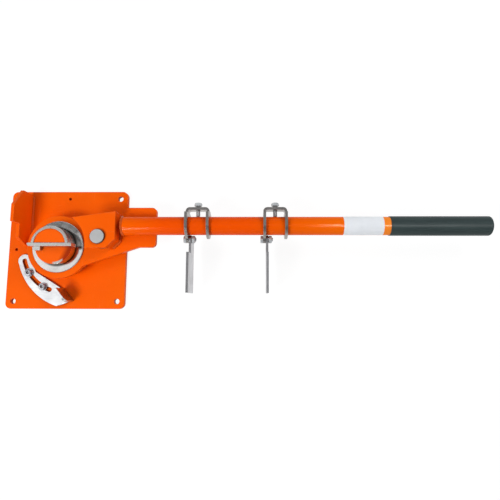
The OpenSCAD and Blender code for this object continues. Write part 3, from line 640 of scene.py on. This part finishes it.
def hex_screw(origin, axis, side, head, flats, length, outer, pitch, thread_from):
    """Hexagon head under its corner chamfer, then a threaded shank: rows along the axis, columns round it.

    The head runs back from the origin and the shank forward. The radius of a head row is the hexagon's, held
    down to a cone near the top; a thread row follows the winding groove.
    """
    corner = flats / 2 / math.cos(SIXTH / 2)
    chamfer = 0.11 * flats
    crown = 0.47 * flats
    neck = 1.18 * outer
    groove = SCREW_GROOVE * pitch
    step = pitch / THREAD_ROWS
    tip = length - 0.2 * outer
    tip_r = 0.72 * outer
    angle = np.arange(COLUMNS) * TURN / COLUMNS
    hexagon = hex_radius(angle, flats)
    hex_rows = [(-head, crown), (-head + 0.35 * chamfer, flats / 2), (-head + chamfer, corner),
                (-0.04 * flats, corner), (0.0, flats / 2)]
    plain_rows = [(0.0, neck), (0.1 * outer, outer), (thread_from, outer)]
    steps = np.arange(thread_from + step, tip, step)
    heights = np.concatenate([[row for row, _ in hex_rows + plain_rows], steps, [tip, length]])
    radii = np.concatenate([
        np.array([np.minimum(hexagon, limit) for _, limit in hex_rows]),
        np.array([np.full(COLUMNS, radius) for _, radius in plain_rows]),
        thread_radius(steps[:, None], angle[None, :], outer, groove, pitch),
        np.full((1, COLUMNS), outer - groove),
        np.full((1, COLUMNS), tip_r),
    ])
    distance = np.repeat(heights[:, None], COLUMNS, 1)
    grid = along_axis(origin, axis, side, distance, radii, np.repeat(angle[None, :], len(heights), 0))
    ends = along_axis(origin, axis, side, np.array([-head, length]), np.zeros(2), np.zeros(2))
    points = np.concatenate([ends[:1], grid.reshape(-1, 3), ends[1:]])
    return points, skin(len(heights), COLUMNS)


def hex_nut(origin, axis, side, height, flats, outer, pitch):
    """Hexagon ring chamfered on both faces, with a bore that follows the thread.

    Rows go round its section: up the outside by the hexagon's radius, and down the bore by the groove's.
    """
    corner = flats / 2 / math.cos(SIXTH / 2)
    chamfer = 0.1 * flats
    crown = 0.47 * flats
    mouth = 1.1 * outer
    lead = 0.1 * outer
    bore_r = 1.02 * outer
    angle = np.arange(COLUMNS) * TURN / COLUMNS
    hexagon = hex_radius(angle, flats)
    outside = [(0.0, crown), (0.35 * chamfer, flats / 2), (chamfer, corner),
               (height - chamfer, corner), (height - 0.35 * chamfer, flats / 2), (height, crown)]
    steps = np.arange(height - lead, lead, -pitch / THREAD_ROWS)
    heights = np.concatenate([[row for row, _ in outside], [height], steps, [0.0]])
    radii = np.concatenate([
        np.array([np.minimum(hexagon, limit) for _, limit in outside]),
        np.full((1, COLUMNS), mouth),
        thread_radius(steps[:, None], angle[None, :], bore_r, NUT_GROOVE * pitch, pitch),
        np.full((1, COLUMNS), mouth),
    ])
    distance = np.repeat(heights[:, None], COLUMNS, 1)
    grid = along_axis(origin, axis, side, distance, radii, np.repeat(angle[None, :], len(heights), 0))
    return grid.reshape(-1, 3), ring_skin(len(heights), COLUMNS)


def socket_screw(origin, foot, head_from, top, shank, head, socket_flats, socket_depth):
    """Socket cap screw on an upright axis, its knurl a cosine wave round the head.

    Rows climb the shank and the head, then go down the hexagon socket to the drill's point.
    """
    angle = np.arange(KNURL_COLUMNS) * TURN / KNURL_COLUMNS
    knurl = head - 0.018 * head * (1 - np.cos(KNURLS * angle))
    socket = hex_radius(angle, socket_flats)
    plain = np.ones(KNURL_COLUMNS)
    bevel = 0.12 * head
    rows = [(foot, shank * plain), (head_from, shank * plain), (head_from, knurl - bevel / 3),
            (head_from + bevel / 3, knurl), (top - bevel, knurl),
            (top - 0.3 * bevel, (head - 0.4 * bevel) * plain), (top, (head - bevel) * plain),
            (top, 1.12 * socket), (top - 0.1 * head, socket), (top - socket_depth, socket),
            (top - 1.15 * socket_depth, 0.5 * socket)]
    distance = np.repeat(np.array([row for row, _ in rows])[:, None], KNURL_COLUMNS, 1)
    radius = np.array([r for _, r in rows])
    turned = np.repeat(angle[None, :], len(rows), 0)
    grid = along_axis(origin, (0, 0, 1), (1, 0, 0), distance, radius, turned)
    tips = np.array([foot, top - 1.2 * socket_depth])
    ends = along_axis(origin, (0, 0, 1), (1, 0, 0), tips, np.zeros(2), np.zeros(2))
    points = np.concatenate([ends[:1], grid.reshape(-1, 3), ends[1:]])
    return points, skin(len(rows), KNURL_COLUMNS)


BEAD_COLUMNS = 20
BEAD_ROWS = 5
BEAD_LEAN = 0.22
BEAD_STEP = 0.13
BEAD_DRIFT = 0.05


def weld_bead(path, radius, pitch, closed=False, swell=0.0, up=(0.0, 0.0, 1.0)):
    """Bead along a flat path: a circle carried along it, whose radius grows and falls back once in a pitch.

    The step leans round the circle as the solidified rings of a weld do, and the ends draw in to a point.
    Swell is the share by which the radius has grown at the far end, and up is square to the path's plane.
    """
    path = np.asarray(path, float)
    if closed:
        path = np.concatenate([path, path[:1]])
    run = np.concatenate([[0], np.cumsum(np.linalg.norm(np.diff(path, axis=0), axis=1))])
    count = max(12, int(run[-1] / (pitch / BEAD_ROWS)))
    place_on = np.linspace(0, run[-1], count, endpoint=not closed)
    centre = np.stack([np.interp(place_on, run, path[:, k]) for k in range(3)], -1)
    if closed:
        ahead = np.roll(centre, -1, 0) - np.roll(centre, 1, 0)
    else:
        ahead = np.gradient(centre, axis=0)
    ahead /= np.linalg.norm(ahead, axis=1)[:, None]
    up = np.asarray(up)
    across = np.cross(up, ahead)
    angle = np.arange(BEAD_COLUMNS) * TURN / BEAD_COLUMNS
    phase = (place_on[:, None] / pitch + BEAD_LEAN * np.abs(np.sin(angle))[None, :]) % 1.0
    drift = BEAD_DRIFT * np.sin(place_on / (2.3 * pitch) + 1.0)
    ripple = 1.0 + BEAD_STEP * (phase - 0.5) + drift[:, None]
    ripple = ripple + swell * (place_on / run[-1])[:, None] ** 4
    if not closed:
        inset = np.minimum(place_on, run[-1] - place_on) / radius
        ripple = ripple * np.sqrt(np.clip(1 - np.clip(1 - inset, 0, 0.995) ** 2, 0.0, 1.0))[:, None]
    round_it = np.cos(angle)[None, :, None] * across[:, None, :] + np.sin(angle)[None, :, None] * up
    grid = centre[:, None, :] + radius * ripple[:, :, None] * round_it
    if closed:
        return grid.reshape(-1, 3), ring_skin(count, BEAD_COLUMNS)
    points = np.concatenate([centre[:1], grid.reshape(-1, 3), centre[-1:]])
    return points, skin(count, BEAD_COLUMNS)


# Screws, bolts and nuts of the stops

M8 = 4.0 * MM
M8_PITCH = 1.25 * MM
M8_FLATS = 13.0 * MM
CLAMP_HEAD = 6.0 * MM
CLAMP_PLAIN = 1.2 * MM

for stop in ("1", "2"):
    low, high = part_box(f"stop_{stop}_bolt")
    nut_low, nut_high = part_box(f"stop_{stop}_nut")
    bracket_low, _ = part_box(f"stop_{stop}_bracket")
    middle = (bracket_low.x, (low.y + high.y) / 2, (low.z + high.z) / 2)
    bolt = hex_screw(middle, (1, 0, 0), (0, 0, -1), bracket_low.x - low.x, M8_FLATS, high.x - bracket_low.x,
                     M8, M8_PITCH, nut_low.x - bracket_low.x)
    piece = make_piece(f"swing_bolt_{stop}", [bolt], f"stop_{stop}", screw_zinc)
    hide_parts(f"stop_{stop}_bolt")
    nut_foot = (nut_low.x, middle[1], middle[2])
    nut = hex_nut(nut_foot, (1, 0, 0), (0, 0, -1), nut_high.x - nut_low.x, M8_FLATS, M8, M8_PITCH)
    piece = make_piece(f"swing_nut_{stop}", [nut], f"stop_{stop}", screw_zinc)
    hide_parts(f"stop_{stop}_nut")
    low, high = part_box(f"stop_{stop}_screw")
    clamp_foot = ((low.x + high.x) / 2, high.y - CLAMP_HEAD, (low.z + high.z) / 2)
    clamp = hex_screw(clamp_foot, (0, -1, 0), (1, 0, 0), CLAMP_HEAD, M8_FLATS, high.y - CLAMP_HEAD - low.y,
                      M8, M8_PITCH, CLAMP_PLAIN)
    piece = make_piece(f"clamp_screw_{stop}", [clamp], f"screw_{stop}", screw_zinc)
    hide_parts(f"stop_{stop}_screw")


# Screws of the angle stop

CAP_R = 6.5 * MM
CAP_HEIGHT = 5.0 * MM
SOCKET_FLATS = 6.0 * MM
SOCKET_DEPTH = 3.0 * MM

low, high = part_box("arc_stop_screws")
arc_spots = [(low.x + CAP_R, high.y - CAP_R, 0), (high.x - CAP_R, low.y + CAP_R, 0)]
arc_screws = [socket_screw(spot, low.z, high.z - CAP_HEIGHT, high.z, M8, CAP_R, SOCKET_FLATS, SOCKET_DEPTH)
              for spot in arc_spots]
piece = make_piece("arc_clamp_screws", arc_screws, "base", socket_zinc)
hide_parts("arc_stop_screws")


# Welds

BEAD_LIFT = 0.4 * MM
PATH_POINTS = 180
FENCE_BEAD, FENCE_PITCH = 3.6 * MM, 3.2 * MM
FENCE_START, FENCE_END = 3.0 * MM, 2.0 * MM
BOSS_BEAD, BOSS_PITCH = 3.4 * MM, 3.2 * MM
WEB_BEAD, WEB_PITCH = 4.2 * MM, 3.6 * MM
WEB_SWELL = 0.5
WEB_WALL = 5.0 * MM
WEB_INSET = 1.5 * MM
WEB_END = 2.0 * MM
SEAM_BEAD, SEAM_PITCH = 3.7 * MM, 3.4 * MM
SEAM_START, SEAM_END = 1.0 * MM, 4.0 * MM
SEAM_LIFT = 1.2 * MM
SEAM_SIDE = 11.0 * MM
ROOT_BEAD, ROOT_PITCH = 2.4 * MM, 3.4 * MM
ROOT_SINK = 0.6 * MM

fence_low, fence_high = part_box("fence_plate")
boss_low, boss_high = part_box("pivot_boss")
web_low, web_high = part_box("lever_web")
_, tail_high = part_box("lever_lower_plate")
around = np.linspace(0, TURN, PATH_POINTS, endpoint=False)

foot_z = fence_low.z + BEAD_LIFT
fence_beads = [weld_bead([(x, fence_low.y + FENCE_START, foot_z), (x, fence_high.y - FENCE_END, foot_z)],
                         FENCE_BEAD, FENCE_PITCH)
               for x in (fence_low.x, fence_high.x)]
make_piece("fence_weld", fence_beads, "base", weld_paint)

boss_r = boss_high.x
boss_path = np.stack([boss_r * np.cos(around), boss_r * np.sin(around),
                      np.full(PATH_POINTS, boss_low.z + BEAD_LIFT)], -1)
boss_bead = weld_bead(boss_path, BOSS_BEAD, BOSS_PITCH, closed=True)
make_piece("boss_weld", [boss_bead], "base", weld_paint)

web_z = web_low.z + BEAD_LIFT
slant_x = web_low.x + WEB_WALL / math.sqrt(2)
web_path = [(slant_x + WEB_INSET, web_low.y + WEB_INSET, web_z),
            (web_high.x, web_low.y + web_high.x - slant_x, web_z),
            (web_high.x, web_high.y - WEB_END, web_z)]
web_bead = weld_bead(web_path, WEB_BEAD, WEB_PITCH, swell=WEB_SWELL)
make_piece("web_weld", [web_bead], "lever", weld_paint)

tube_y = (tube_low.y + tube_high.y) / 2
seam_z = tail_high.z + SEAM_LIFT
tube_beads = [weld_bead([(tube_low.x + SEAM_START, tube_y + side * SEAM_SIDE, seam_z),
                         (tail_high.x - SEAM_END, tube_y + side * SEAM_SIDE, seam_z)], SEAM_BEAD, SEAM_PITCH)
              for side in (-1, 1)]
make_piece("tube_weld", tube_beads, "lever", weld_paint)

ring_r = (tube_high.y - tube_low.y) / 2 - ROOT_SINK
tube_z = (tube_low.z + tube_high.z) / 2
ring_path = np.stack([np.full(PATH_POINTS, tube_low.x), tube_y + ring_r * np.cos(around),
                      tube_z + ring_r * np.sin(around)], -1)
root_bead = weld_bead(ring_path, ROOT_BEAD, ROOT_PITCH, closed=True, up=(1.0, 0.0, 0.0))
make_piece("tube_root_weld", [root_bead], "lever", weld_paint)


# Stage, light and camera

FLOOR_HALF = 40.0
FLOOR_Z = -0.6 * MM
FLOOR_TONE = rgb(0.66, 0.66, 0.66)
FLOOR_SHADED = rgb(0.12, 0.12, 0.12)
FLOOR_GLOW = 0.92

floor_mesh = bpy.data.meshes.new("floor")
floor_corners = [(-FLOOR_HALF, -FLOOR_HALF, FLOOR_Z), (FLOOR_HALF, -FLOOR_HALF, FLOOR_Z),
                 (FLOOR_HALF, FLOOR_HALF, FLOOR_Z), (-FLOOR_HALF, FLOOR_HALF, FLOOR_Z)]
floor_mesh.from_pydata(floor_corners, [], [(0, 1, 2, 3)])
floor = bpy.data.objects.new("floor", floor_mesh)
bpy.context.scene.collection.objects.link(floor)
floor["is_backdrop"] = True

floor_paper = bpy.data.materials.new("floor_paper")
floor_paper.use_nodes = True
tree = floor_paper.node_tree
tree.nodes.clear()
matte = add(tree, "ShaderNodeBsdfDiffuse", Color=FLOOR_TONE)
faint = add(tree, "ShaderNodeBsdfDiffuse", Color=FLOOR_SHADED)
glow = add(tree, "ShaderNodeEmission", Color=rgb(1, 1, 1), Strength=FLOOR_GLOW)
white = tree.nodes.new("ShaderNodeAddShader")
tree.links.new(faint.outputs[0], white.inputs[0])
tree.links.new(glow.outputs[0], white.inputs[1])
ray = tree.nodes.new("ShaderNodeLightPath").outputs
seen = combine(tree, "MAXIMUM", ray["Is Camera Ray"],
               combine(tree, "MAXIMUM", ray["Is Glossy Ray"], ray["Is Transmission Ray"]))
paper = tree.nodes.new("ShaderNodeMixShader")
tree.links.new(seen, paper.inputs[0])
tree.links.new(matte.outputs[0], paper.inputs[1])
tree.links.new(white.outputs[0], paper.inputs[2])
end = tree.nodes.new("ShaderNodeOutputMaterial")
tree.links.new(paper.outputs[0], end.inputs["Surface"])
floor_mesh.materials.append(floor_paper)

world = bpy.data.worlds.new("studio")
bpy.context.scene.world = world
world.use_nodes = True
tree = world.node_tree
tree.nodes.clear()
up = add(tree, "ShaderNodeSeparateXYZ", Vector=tree.nodes.new("ShaderNodeTexCoord").outputs["Generated"])
shade = ramp(tree, up.outputs["Z"], [(0.0, rgb(0.95, 0.95, 0.95)), (0.15, rgb(0.72, 0.72, 0.72)),
                                     (0.85, rgb(0.15, 0.15, 0.155))])
sky = add(tree, "ShaderNodeBackground", Color=shade, Strength=1.0)
end = tree.nodes.new("ShaderNodeOutputWorld")
tree.links.new(sky.outputs[0], end.inputs["Surface"])


def softbox(name, place_at, target, width, height, watts, mirrored=True, lighting=True, only=None):
    """Oblong area light that faces a target and stays out of the camera's own view.

    Where it isn't mirrored, bare metal doesn't show it; where it isn't lighting, only bare metal and gloss
    do. Where only names a node, it reaches no other.
    """
    data = bpy.data.lights.new(name, "AREA")
    data.shape = "RECTANGLE"
    data.size = width
    data.size_y = height
    data.energy = watts
    made = bpy.data.objects.new(name, data)
    made.location = place_at
    made.rotation_euler = (Vector(target) - Vector(place_at)).to_track_quat("-Z", "Y").to_euler()
    made.visible_camera = False
    made.visible_glossy = mirrored
    made.visible_diffuse = lighting
    if only:
        reached = bpy.data.collections.new(f"{name}_reach")
        reached.objects.link(nodes[only])
        made.light_linking.receiver_collection = reached
    bpy.context.scene.collection.objects.link(made)


softbox("left_box", (-0.45, -0.56, 1.28), (0.0, 0.0, 0.05), width=0.45, height=0.45, watts=13.0,
        mirrored=False)
softbox("left_card", (-0.93, -0.46, 1.3), (-0.93, -0.46, 0.0), width=1.1, height=1.36, watts=5.4,
        lighting=False)
softbox("front_lamp", (-0.3, -0.94, 1.1), (0.15, 0.03, 0.08), width=0.14, height=0.14, watts=1.6)
softbox("right_box", (1.1, 0.66, 1.1), (0.5, 0.05, 0.06), width=0.5, height=0.5, watts=7.0, mirrored=False)
softbox("top_card", (0.36, 0.16, 1.3), (0.35, 0.16, 0.0), width=0.6, height=0.8, watts=0.8, lighting=False)
softbox("tube_strip", (0.68, 0.006, 0.37), (0.67, 0.006, 0.0), width=0.13, height=0.25, watts=5.4,
        lighting=False, only="lever_tube")
softbox("root_strip", (-0.005, -0.31, 0.43), (0.13, 0.03, 0.085), width=0.05, height=0.28, watts=1.65,
        lighting=False, only="lever_tube")
softbox("grip_strip", (1.2, -0.06, 1.35), (1.1, -0.06, 0.0), width=0.04, height=0.5, watts=12.0,
        lighting=False, only="grip")

# The eye's place, turn and lens were fitted to the corners and bolt holes of the base plate.
eye = bpy.data.cameras.new("photo_eye")
eye.sensor_fit = "HORIZONTAL"
eye.sensor_width = 36.0
eye.lens = 30.286
eye.clip_start = 0.01
camera = bpy.data.objects.new("photo_eye", eye)
camera.location = (0.38689, -0.10533, 0.85448)
camera.rotation_euler = (0.12322, 0.01728, 0.00314)
bpy.context.scene.collection.objects.link(camera)
bpy.context.scene.camera = camera
bpy.context.scene.view_settings.view_transform = "Standard"

bpy.context.view_layer.update()
low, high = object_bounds()
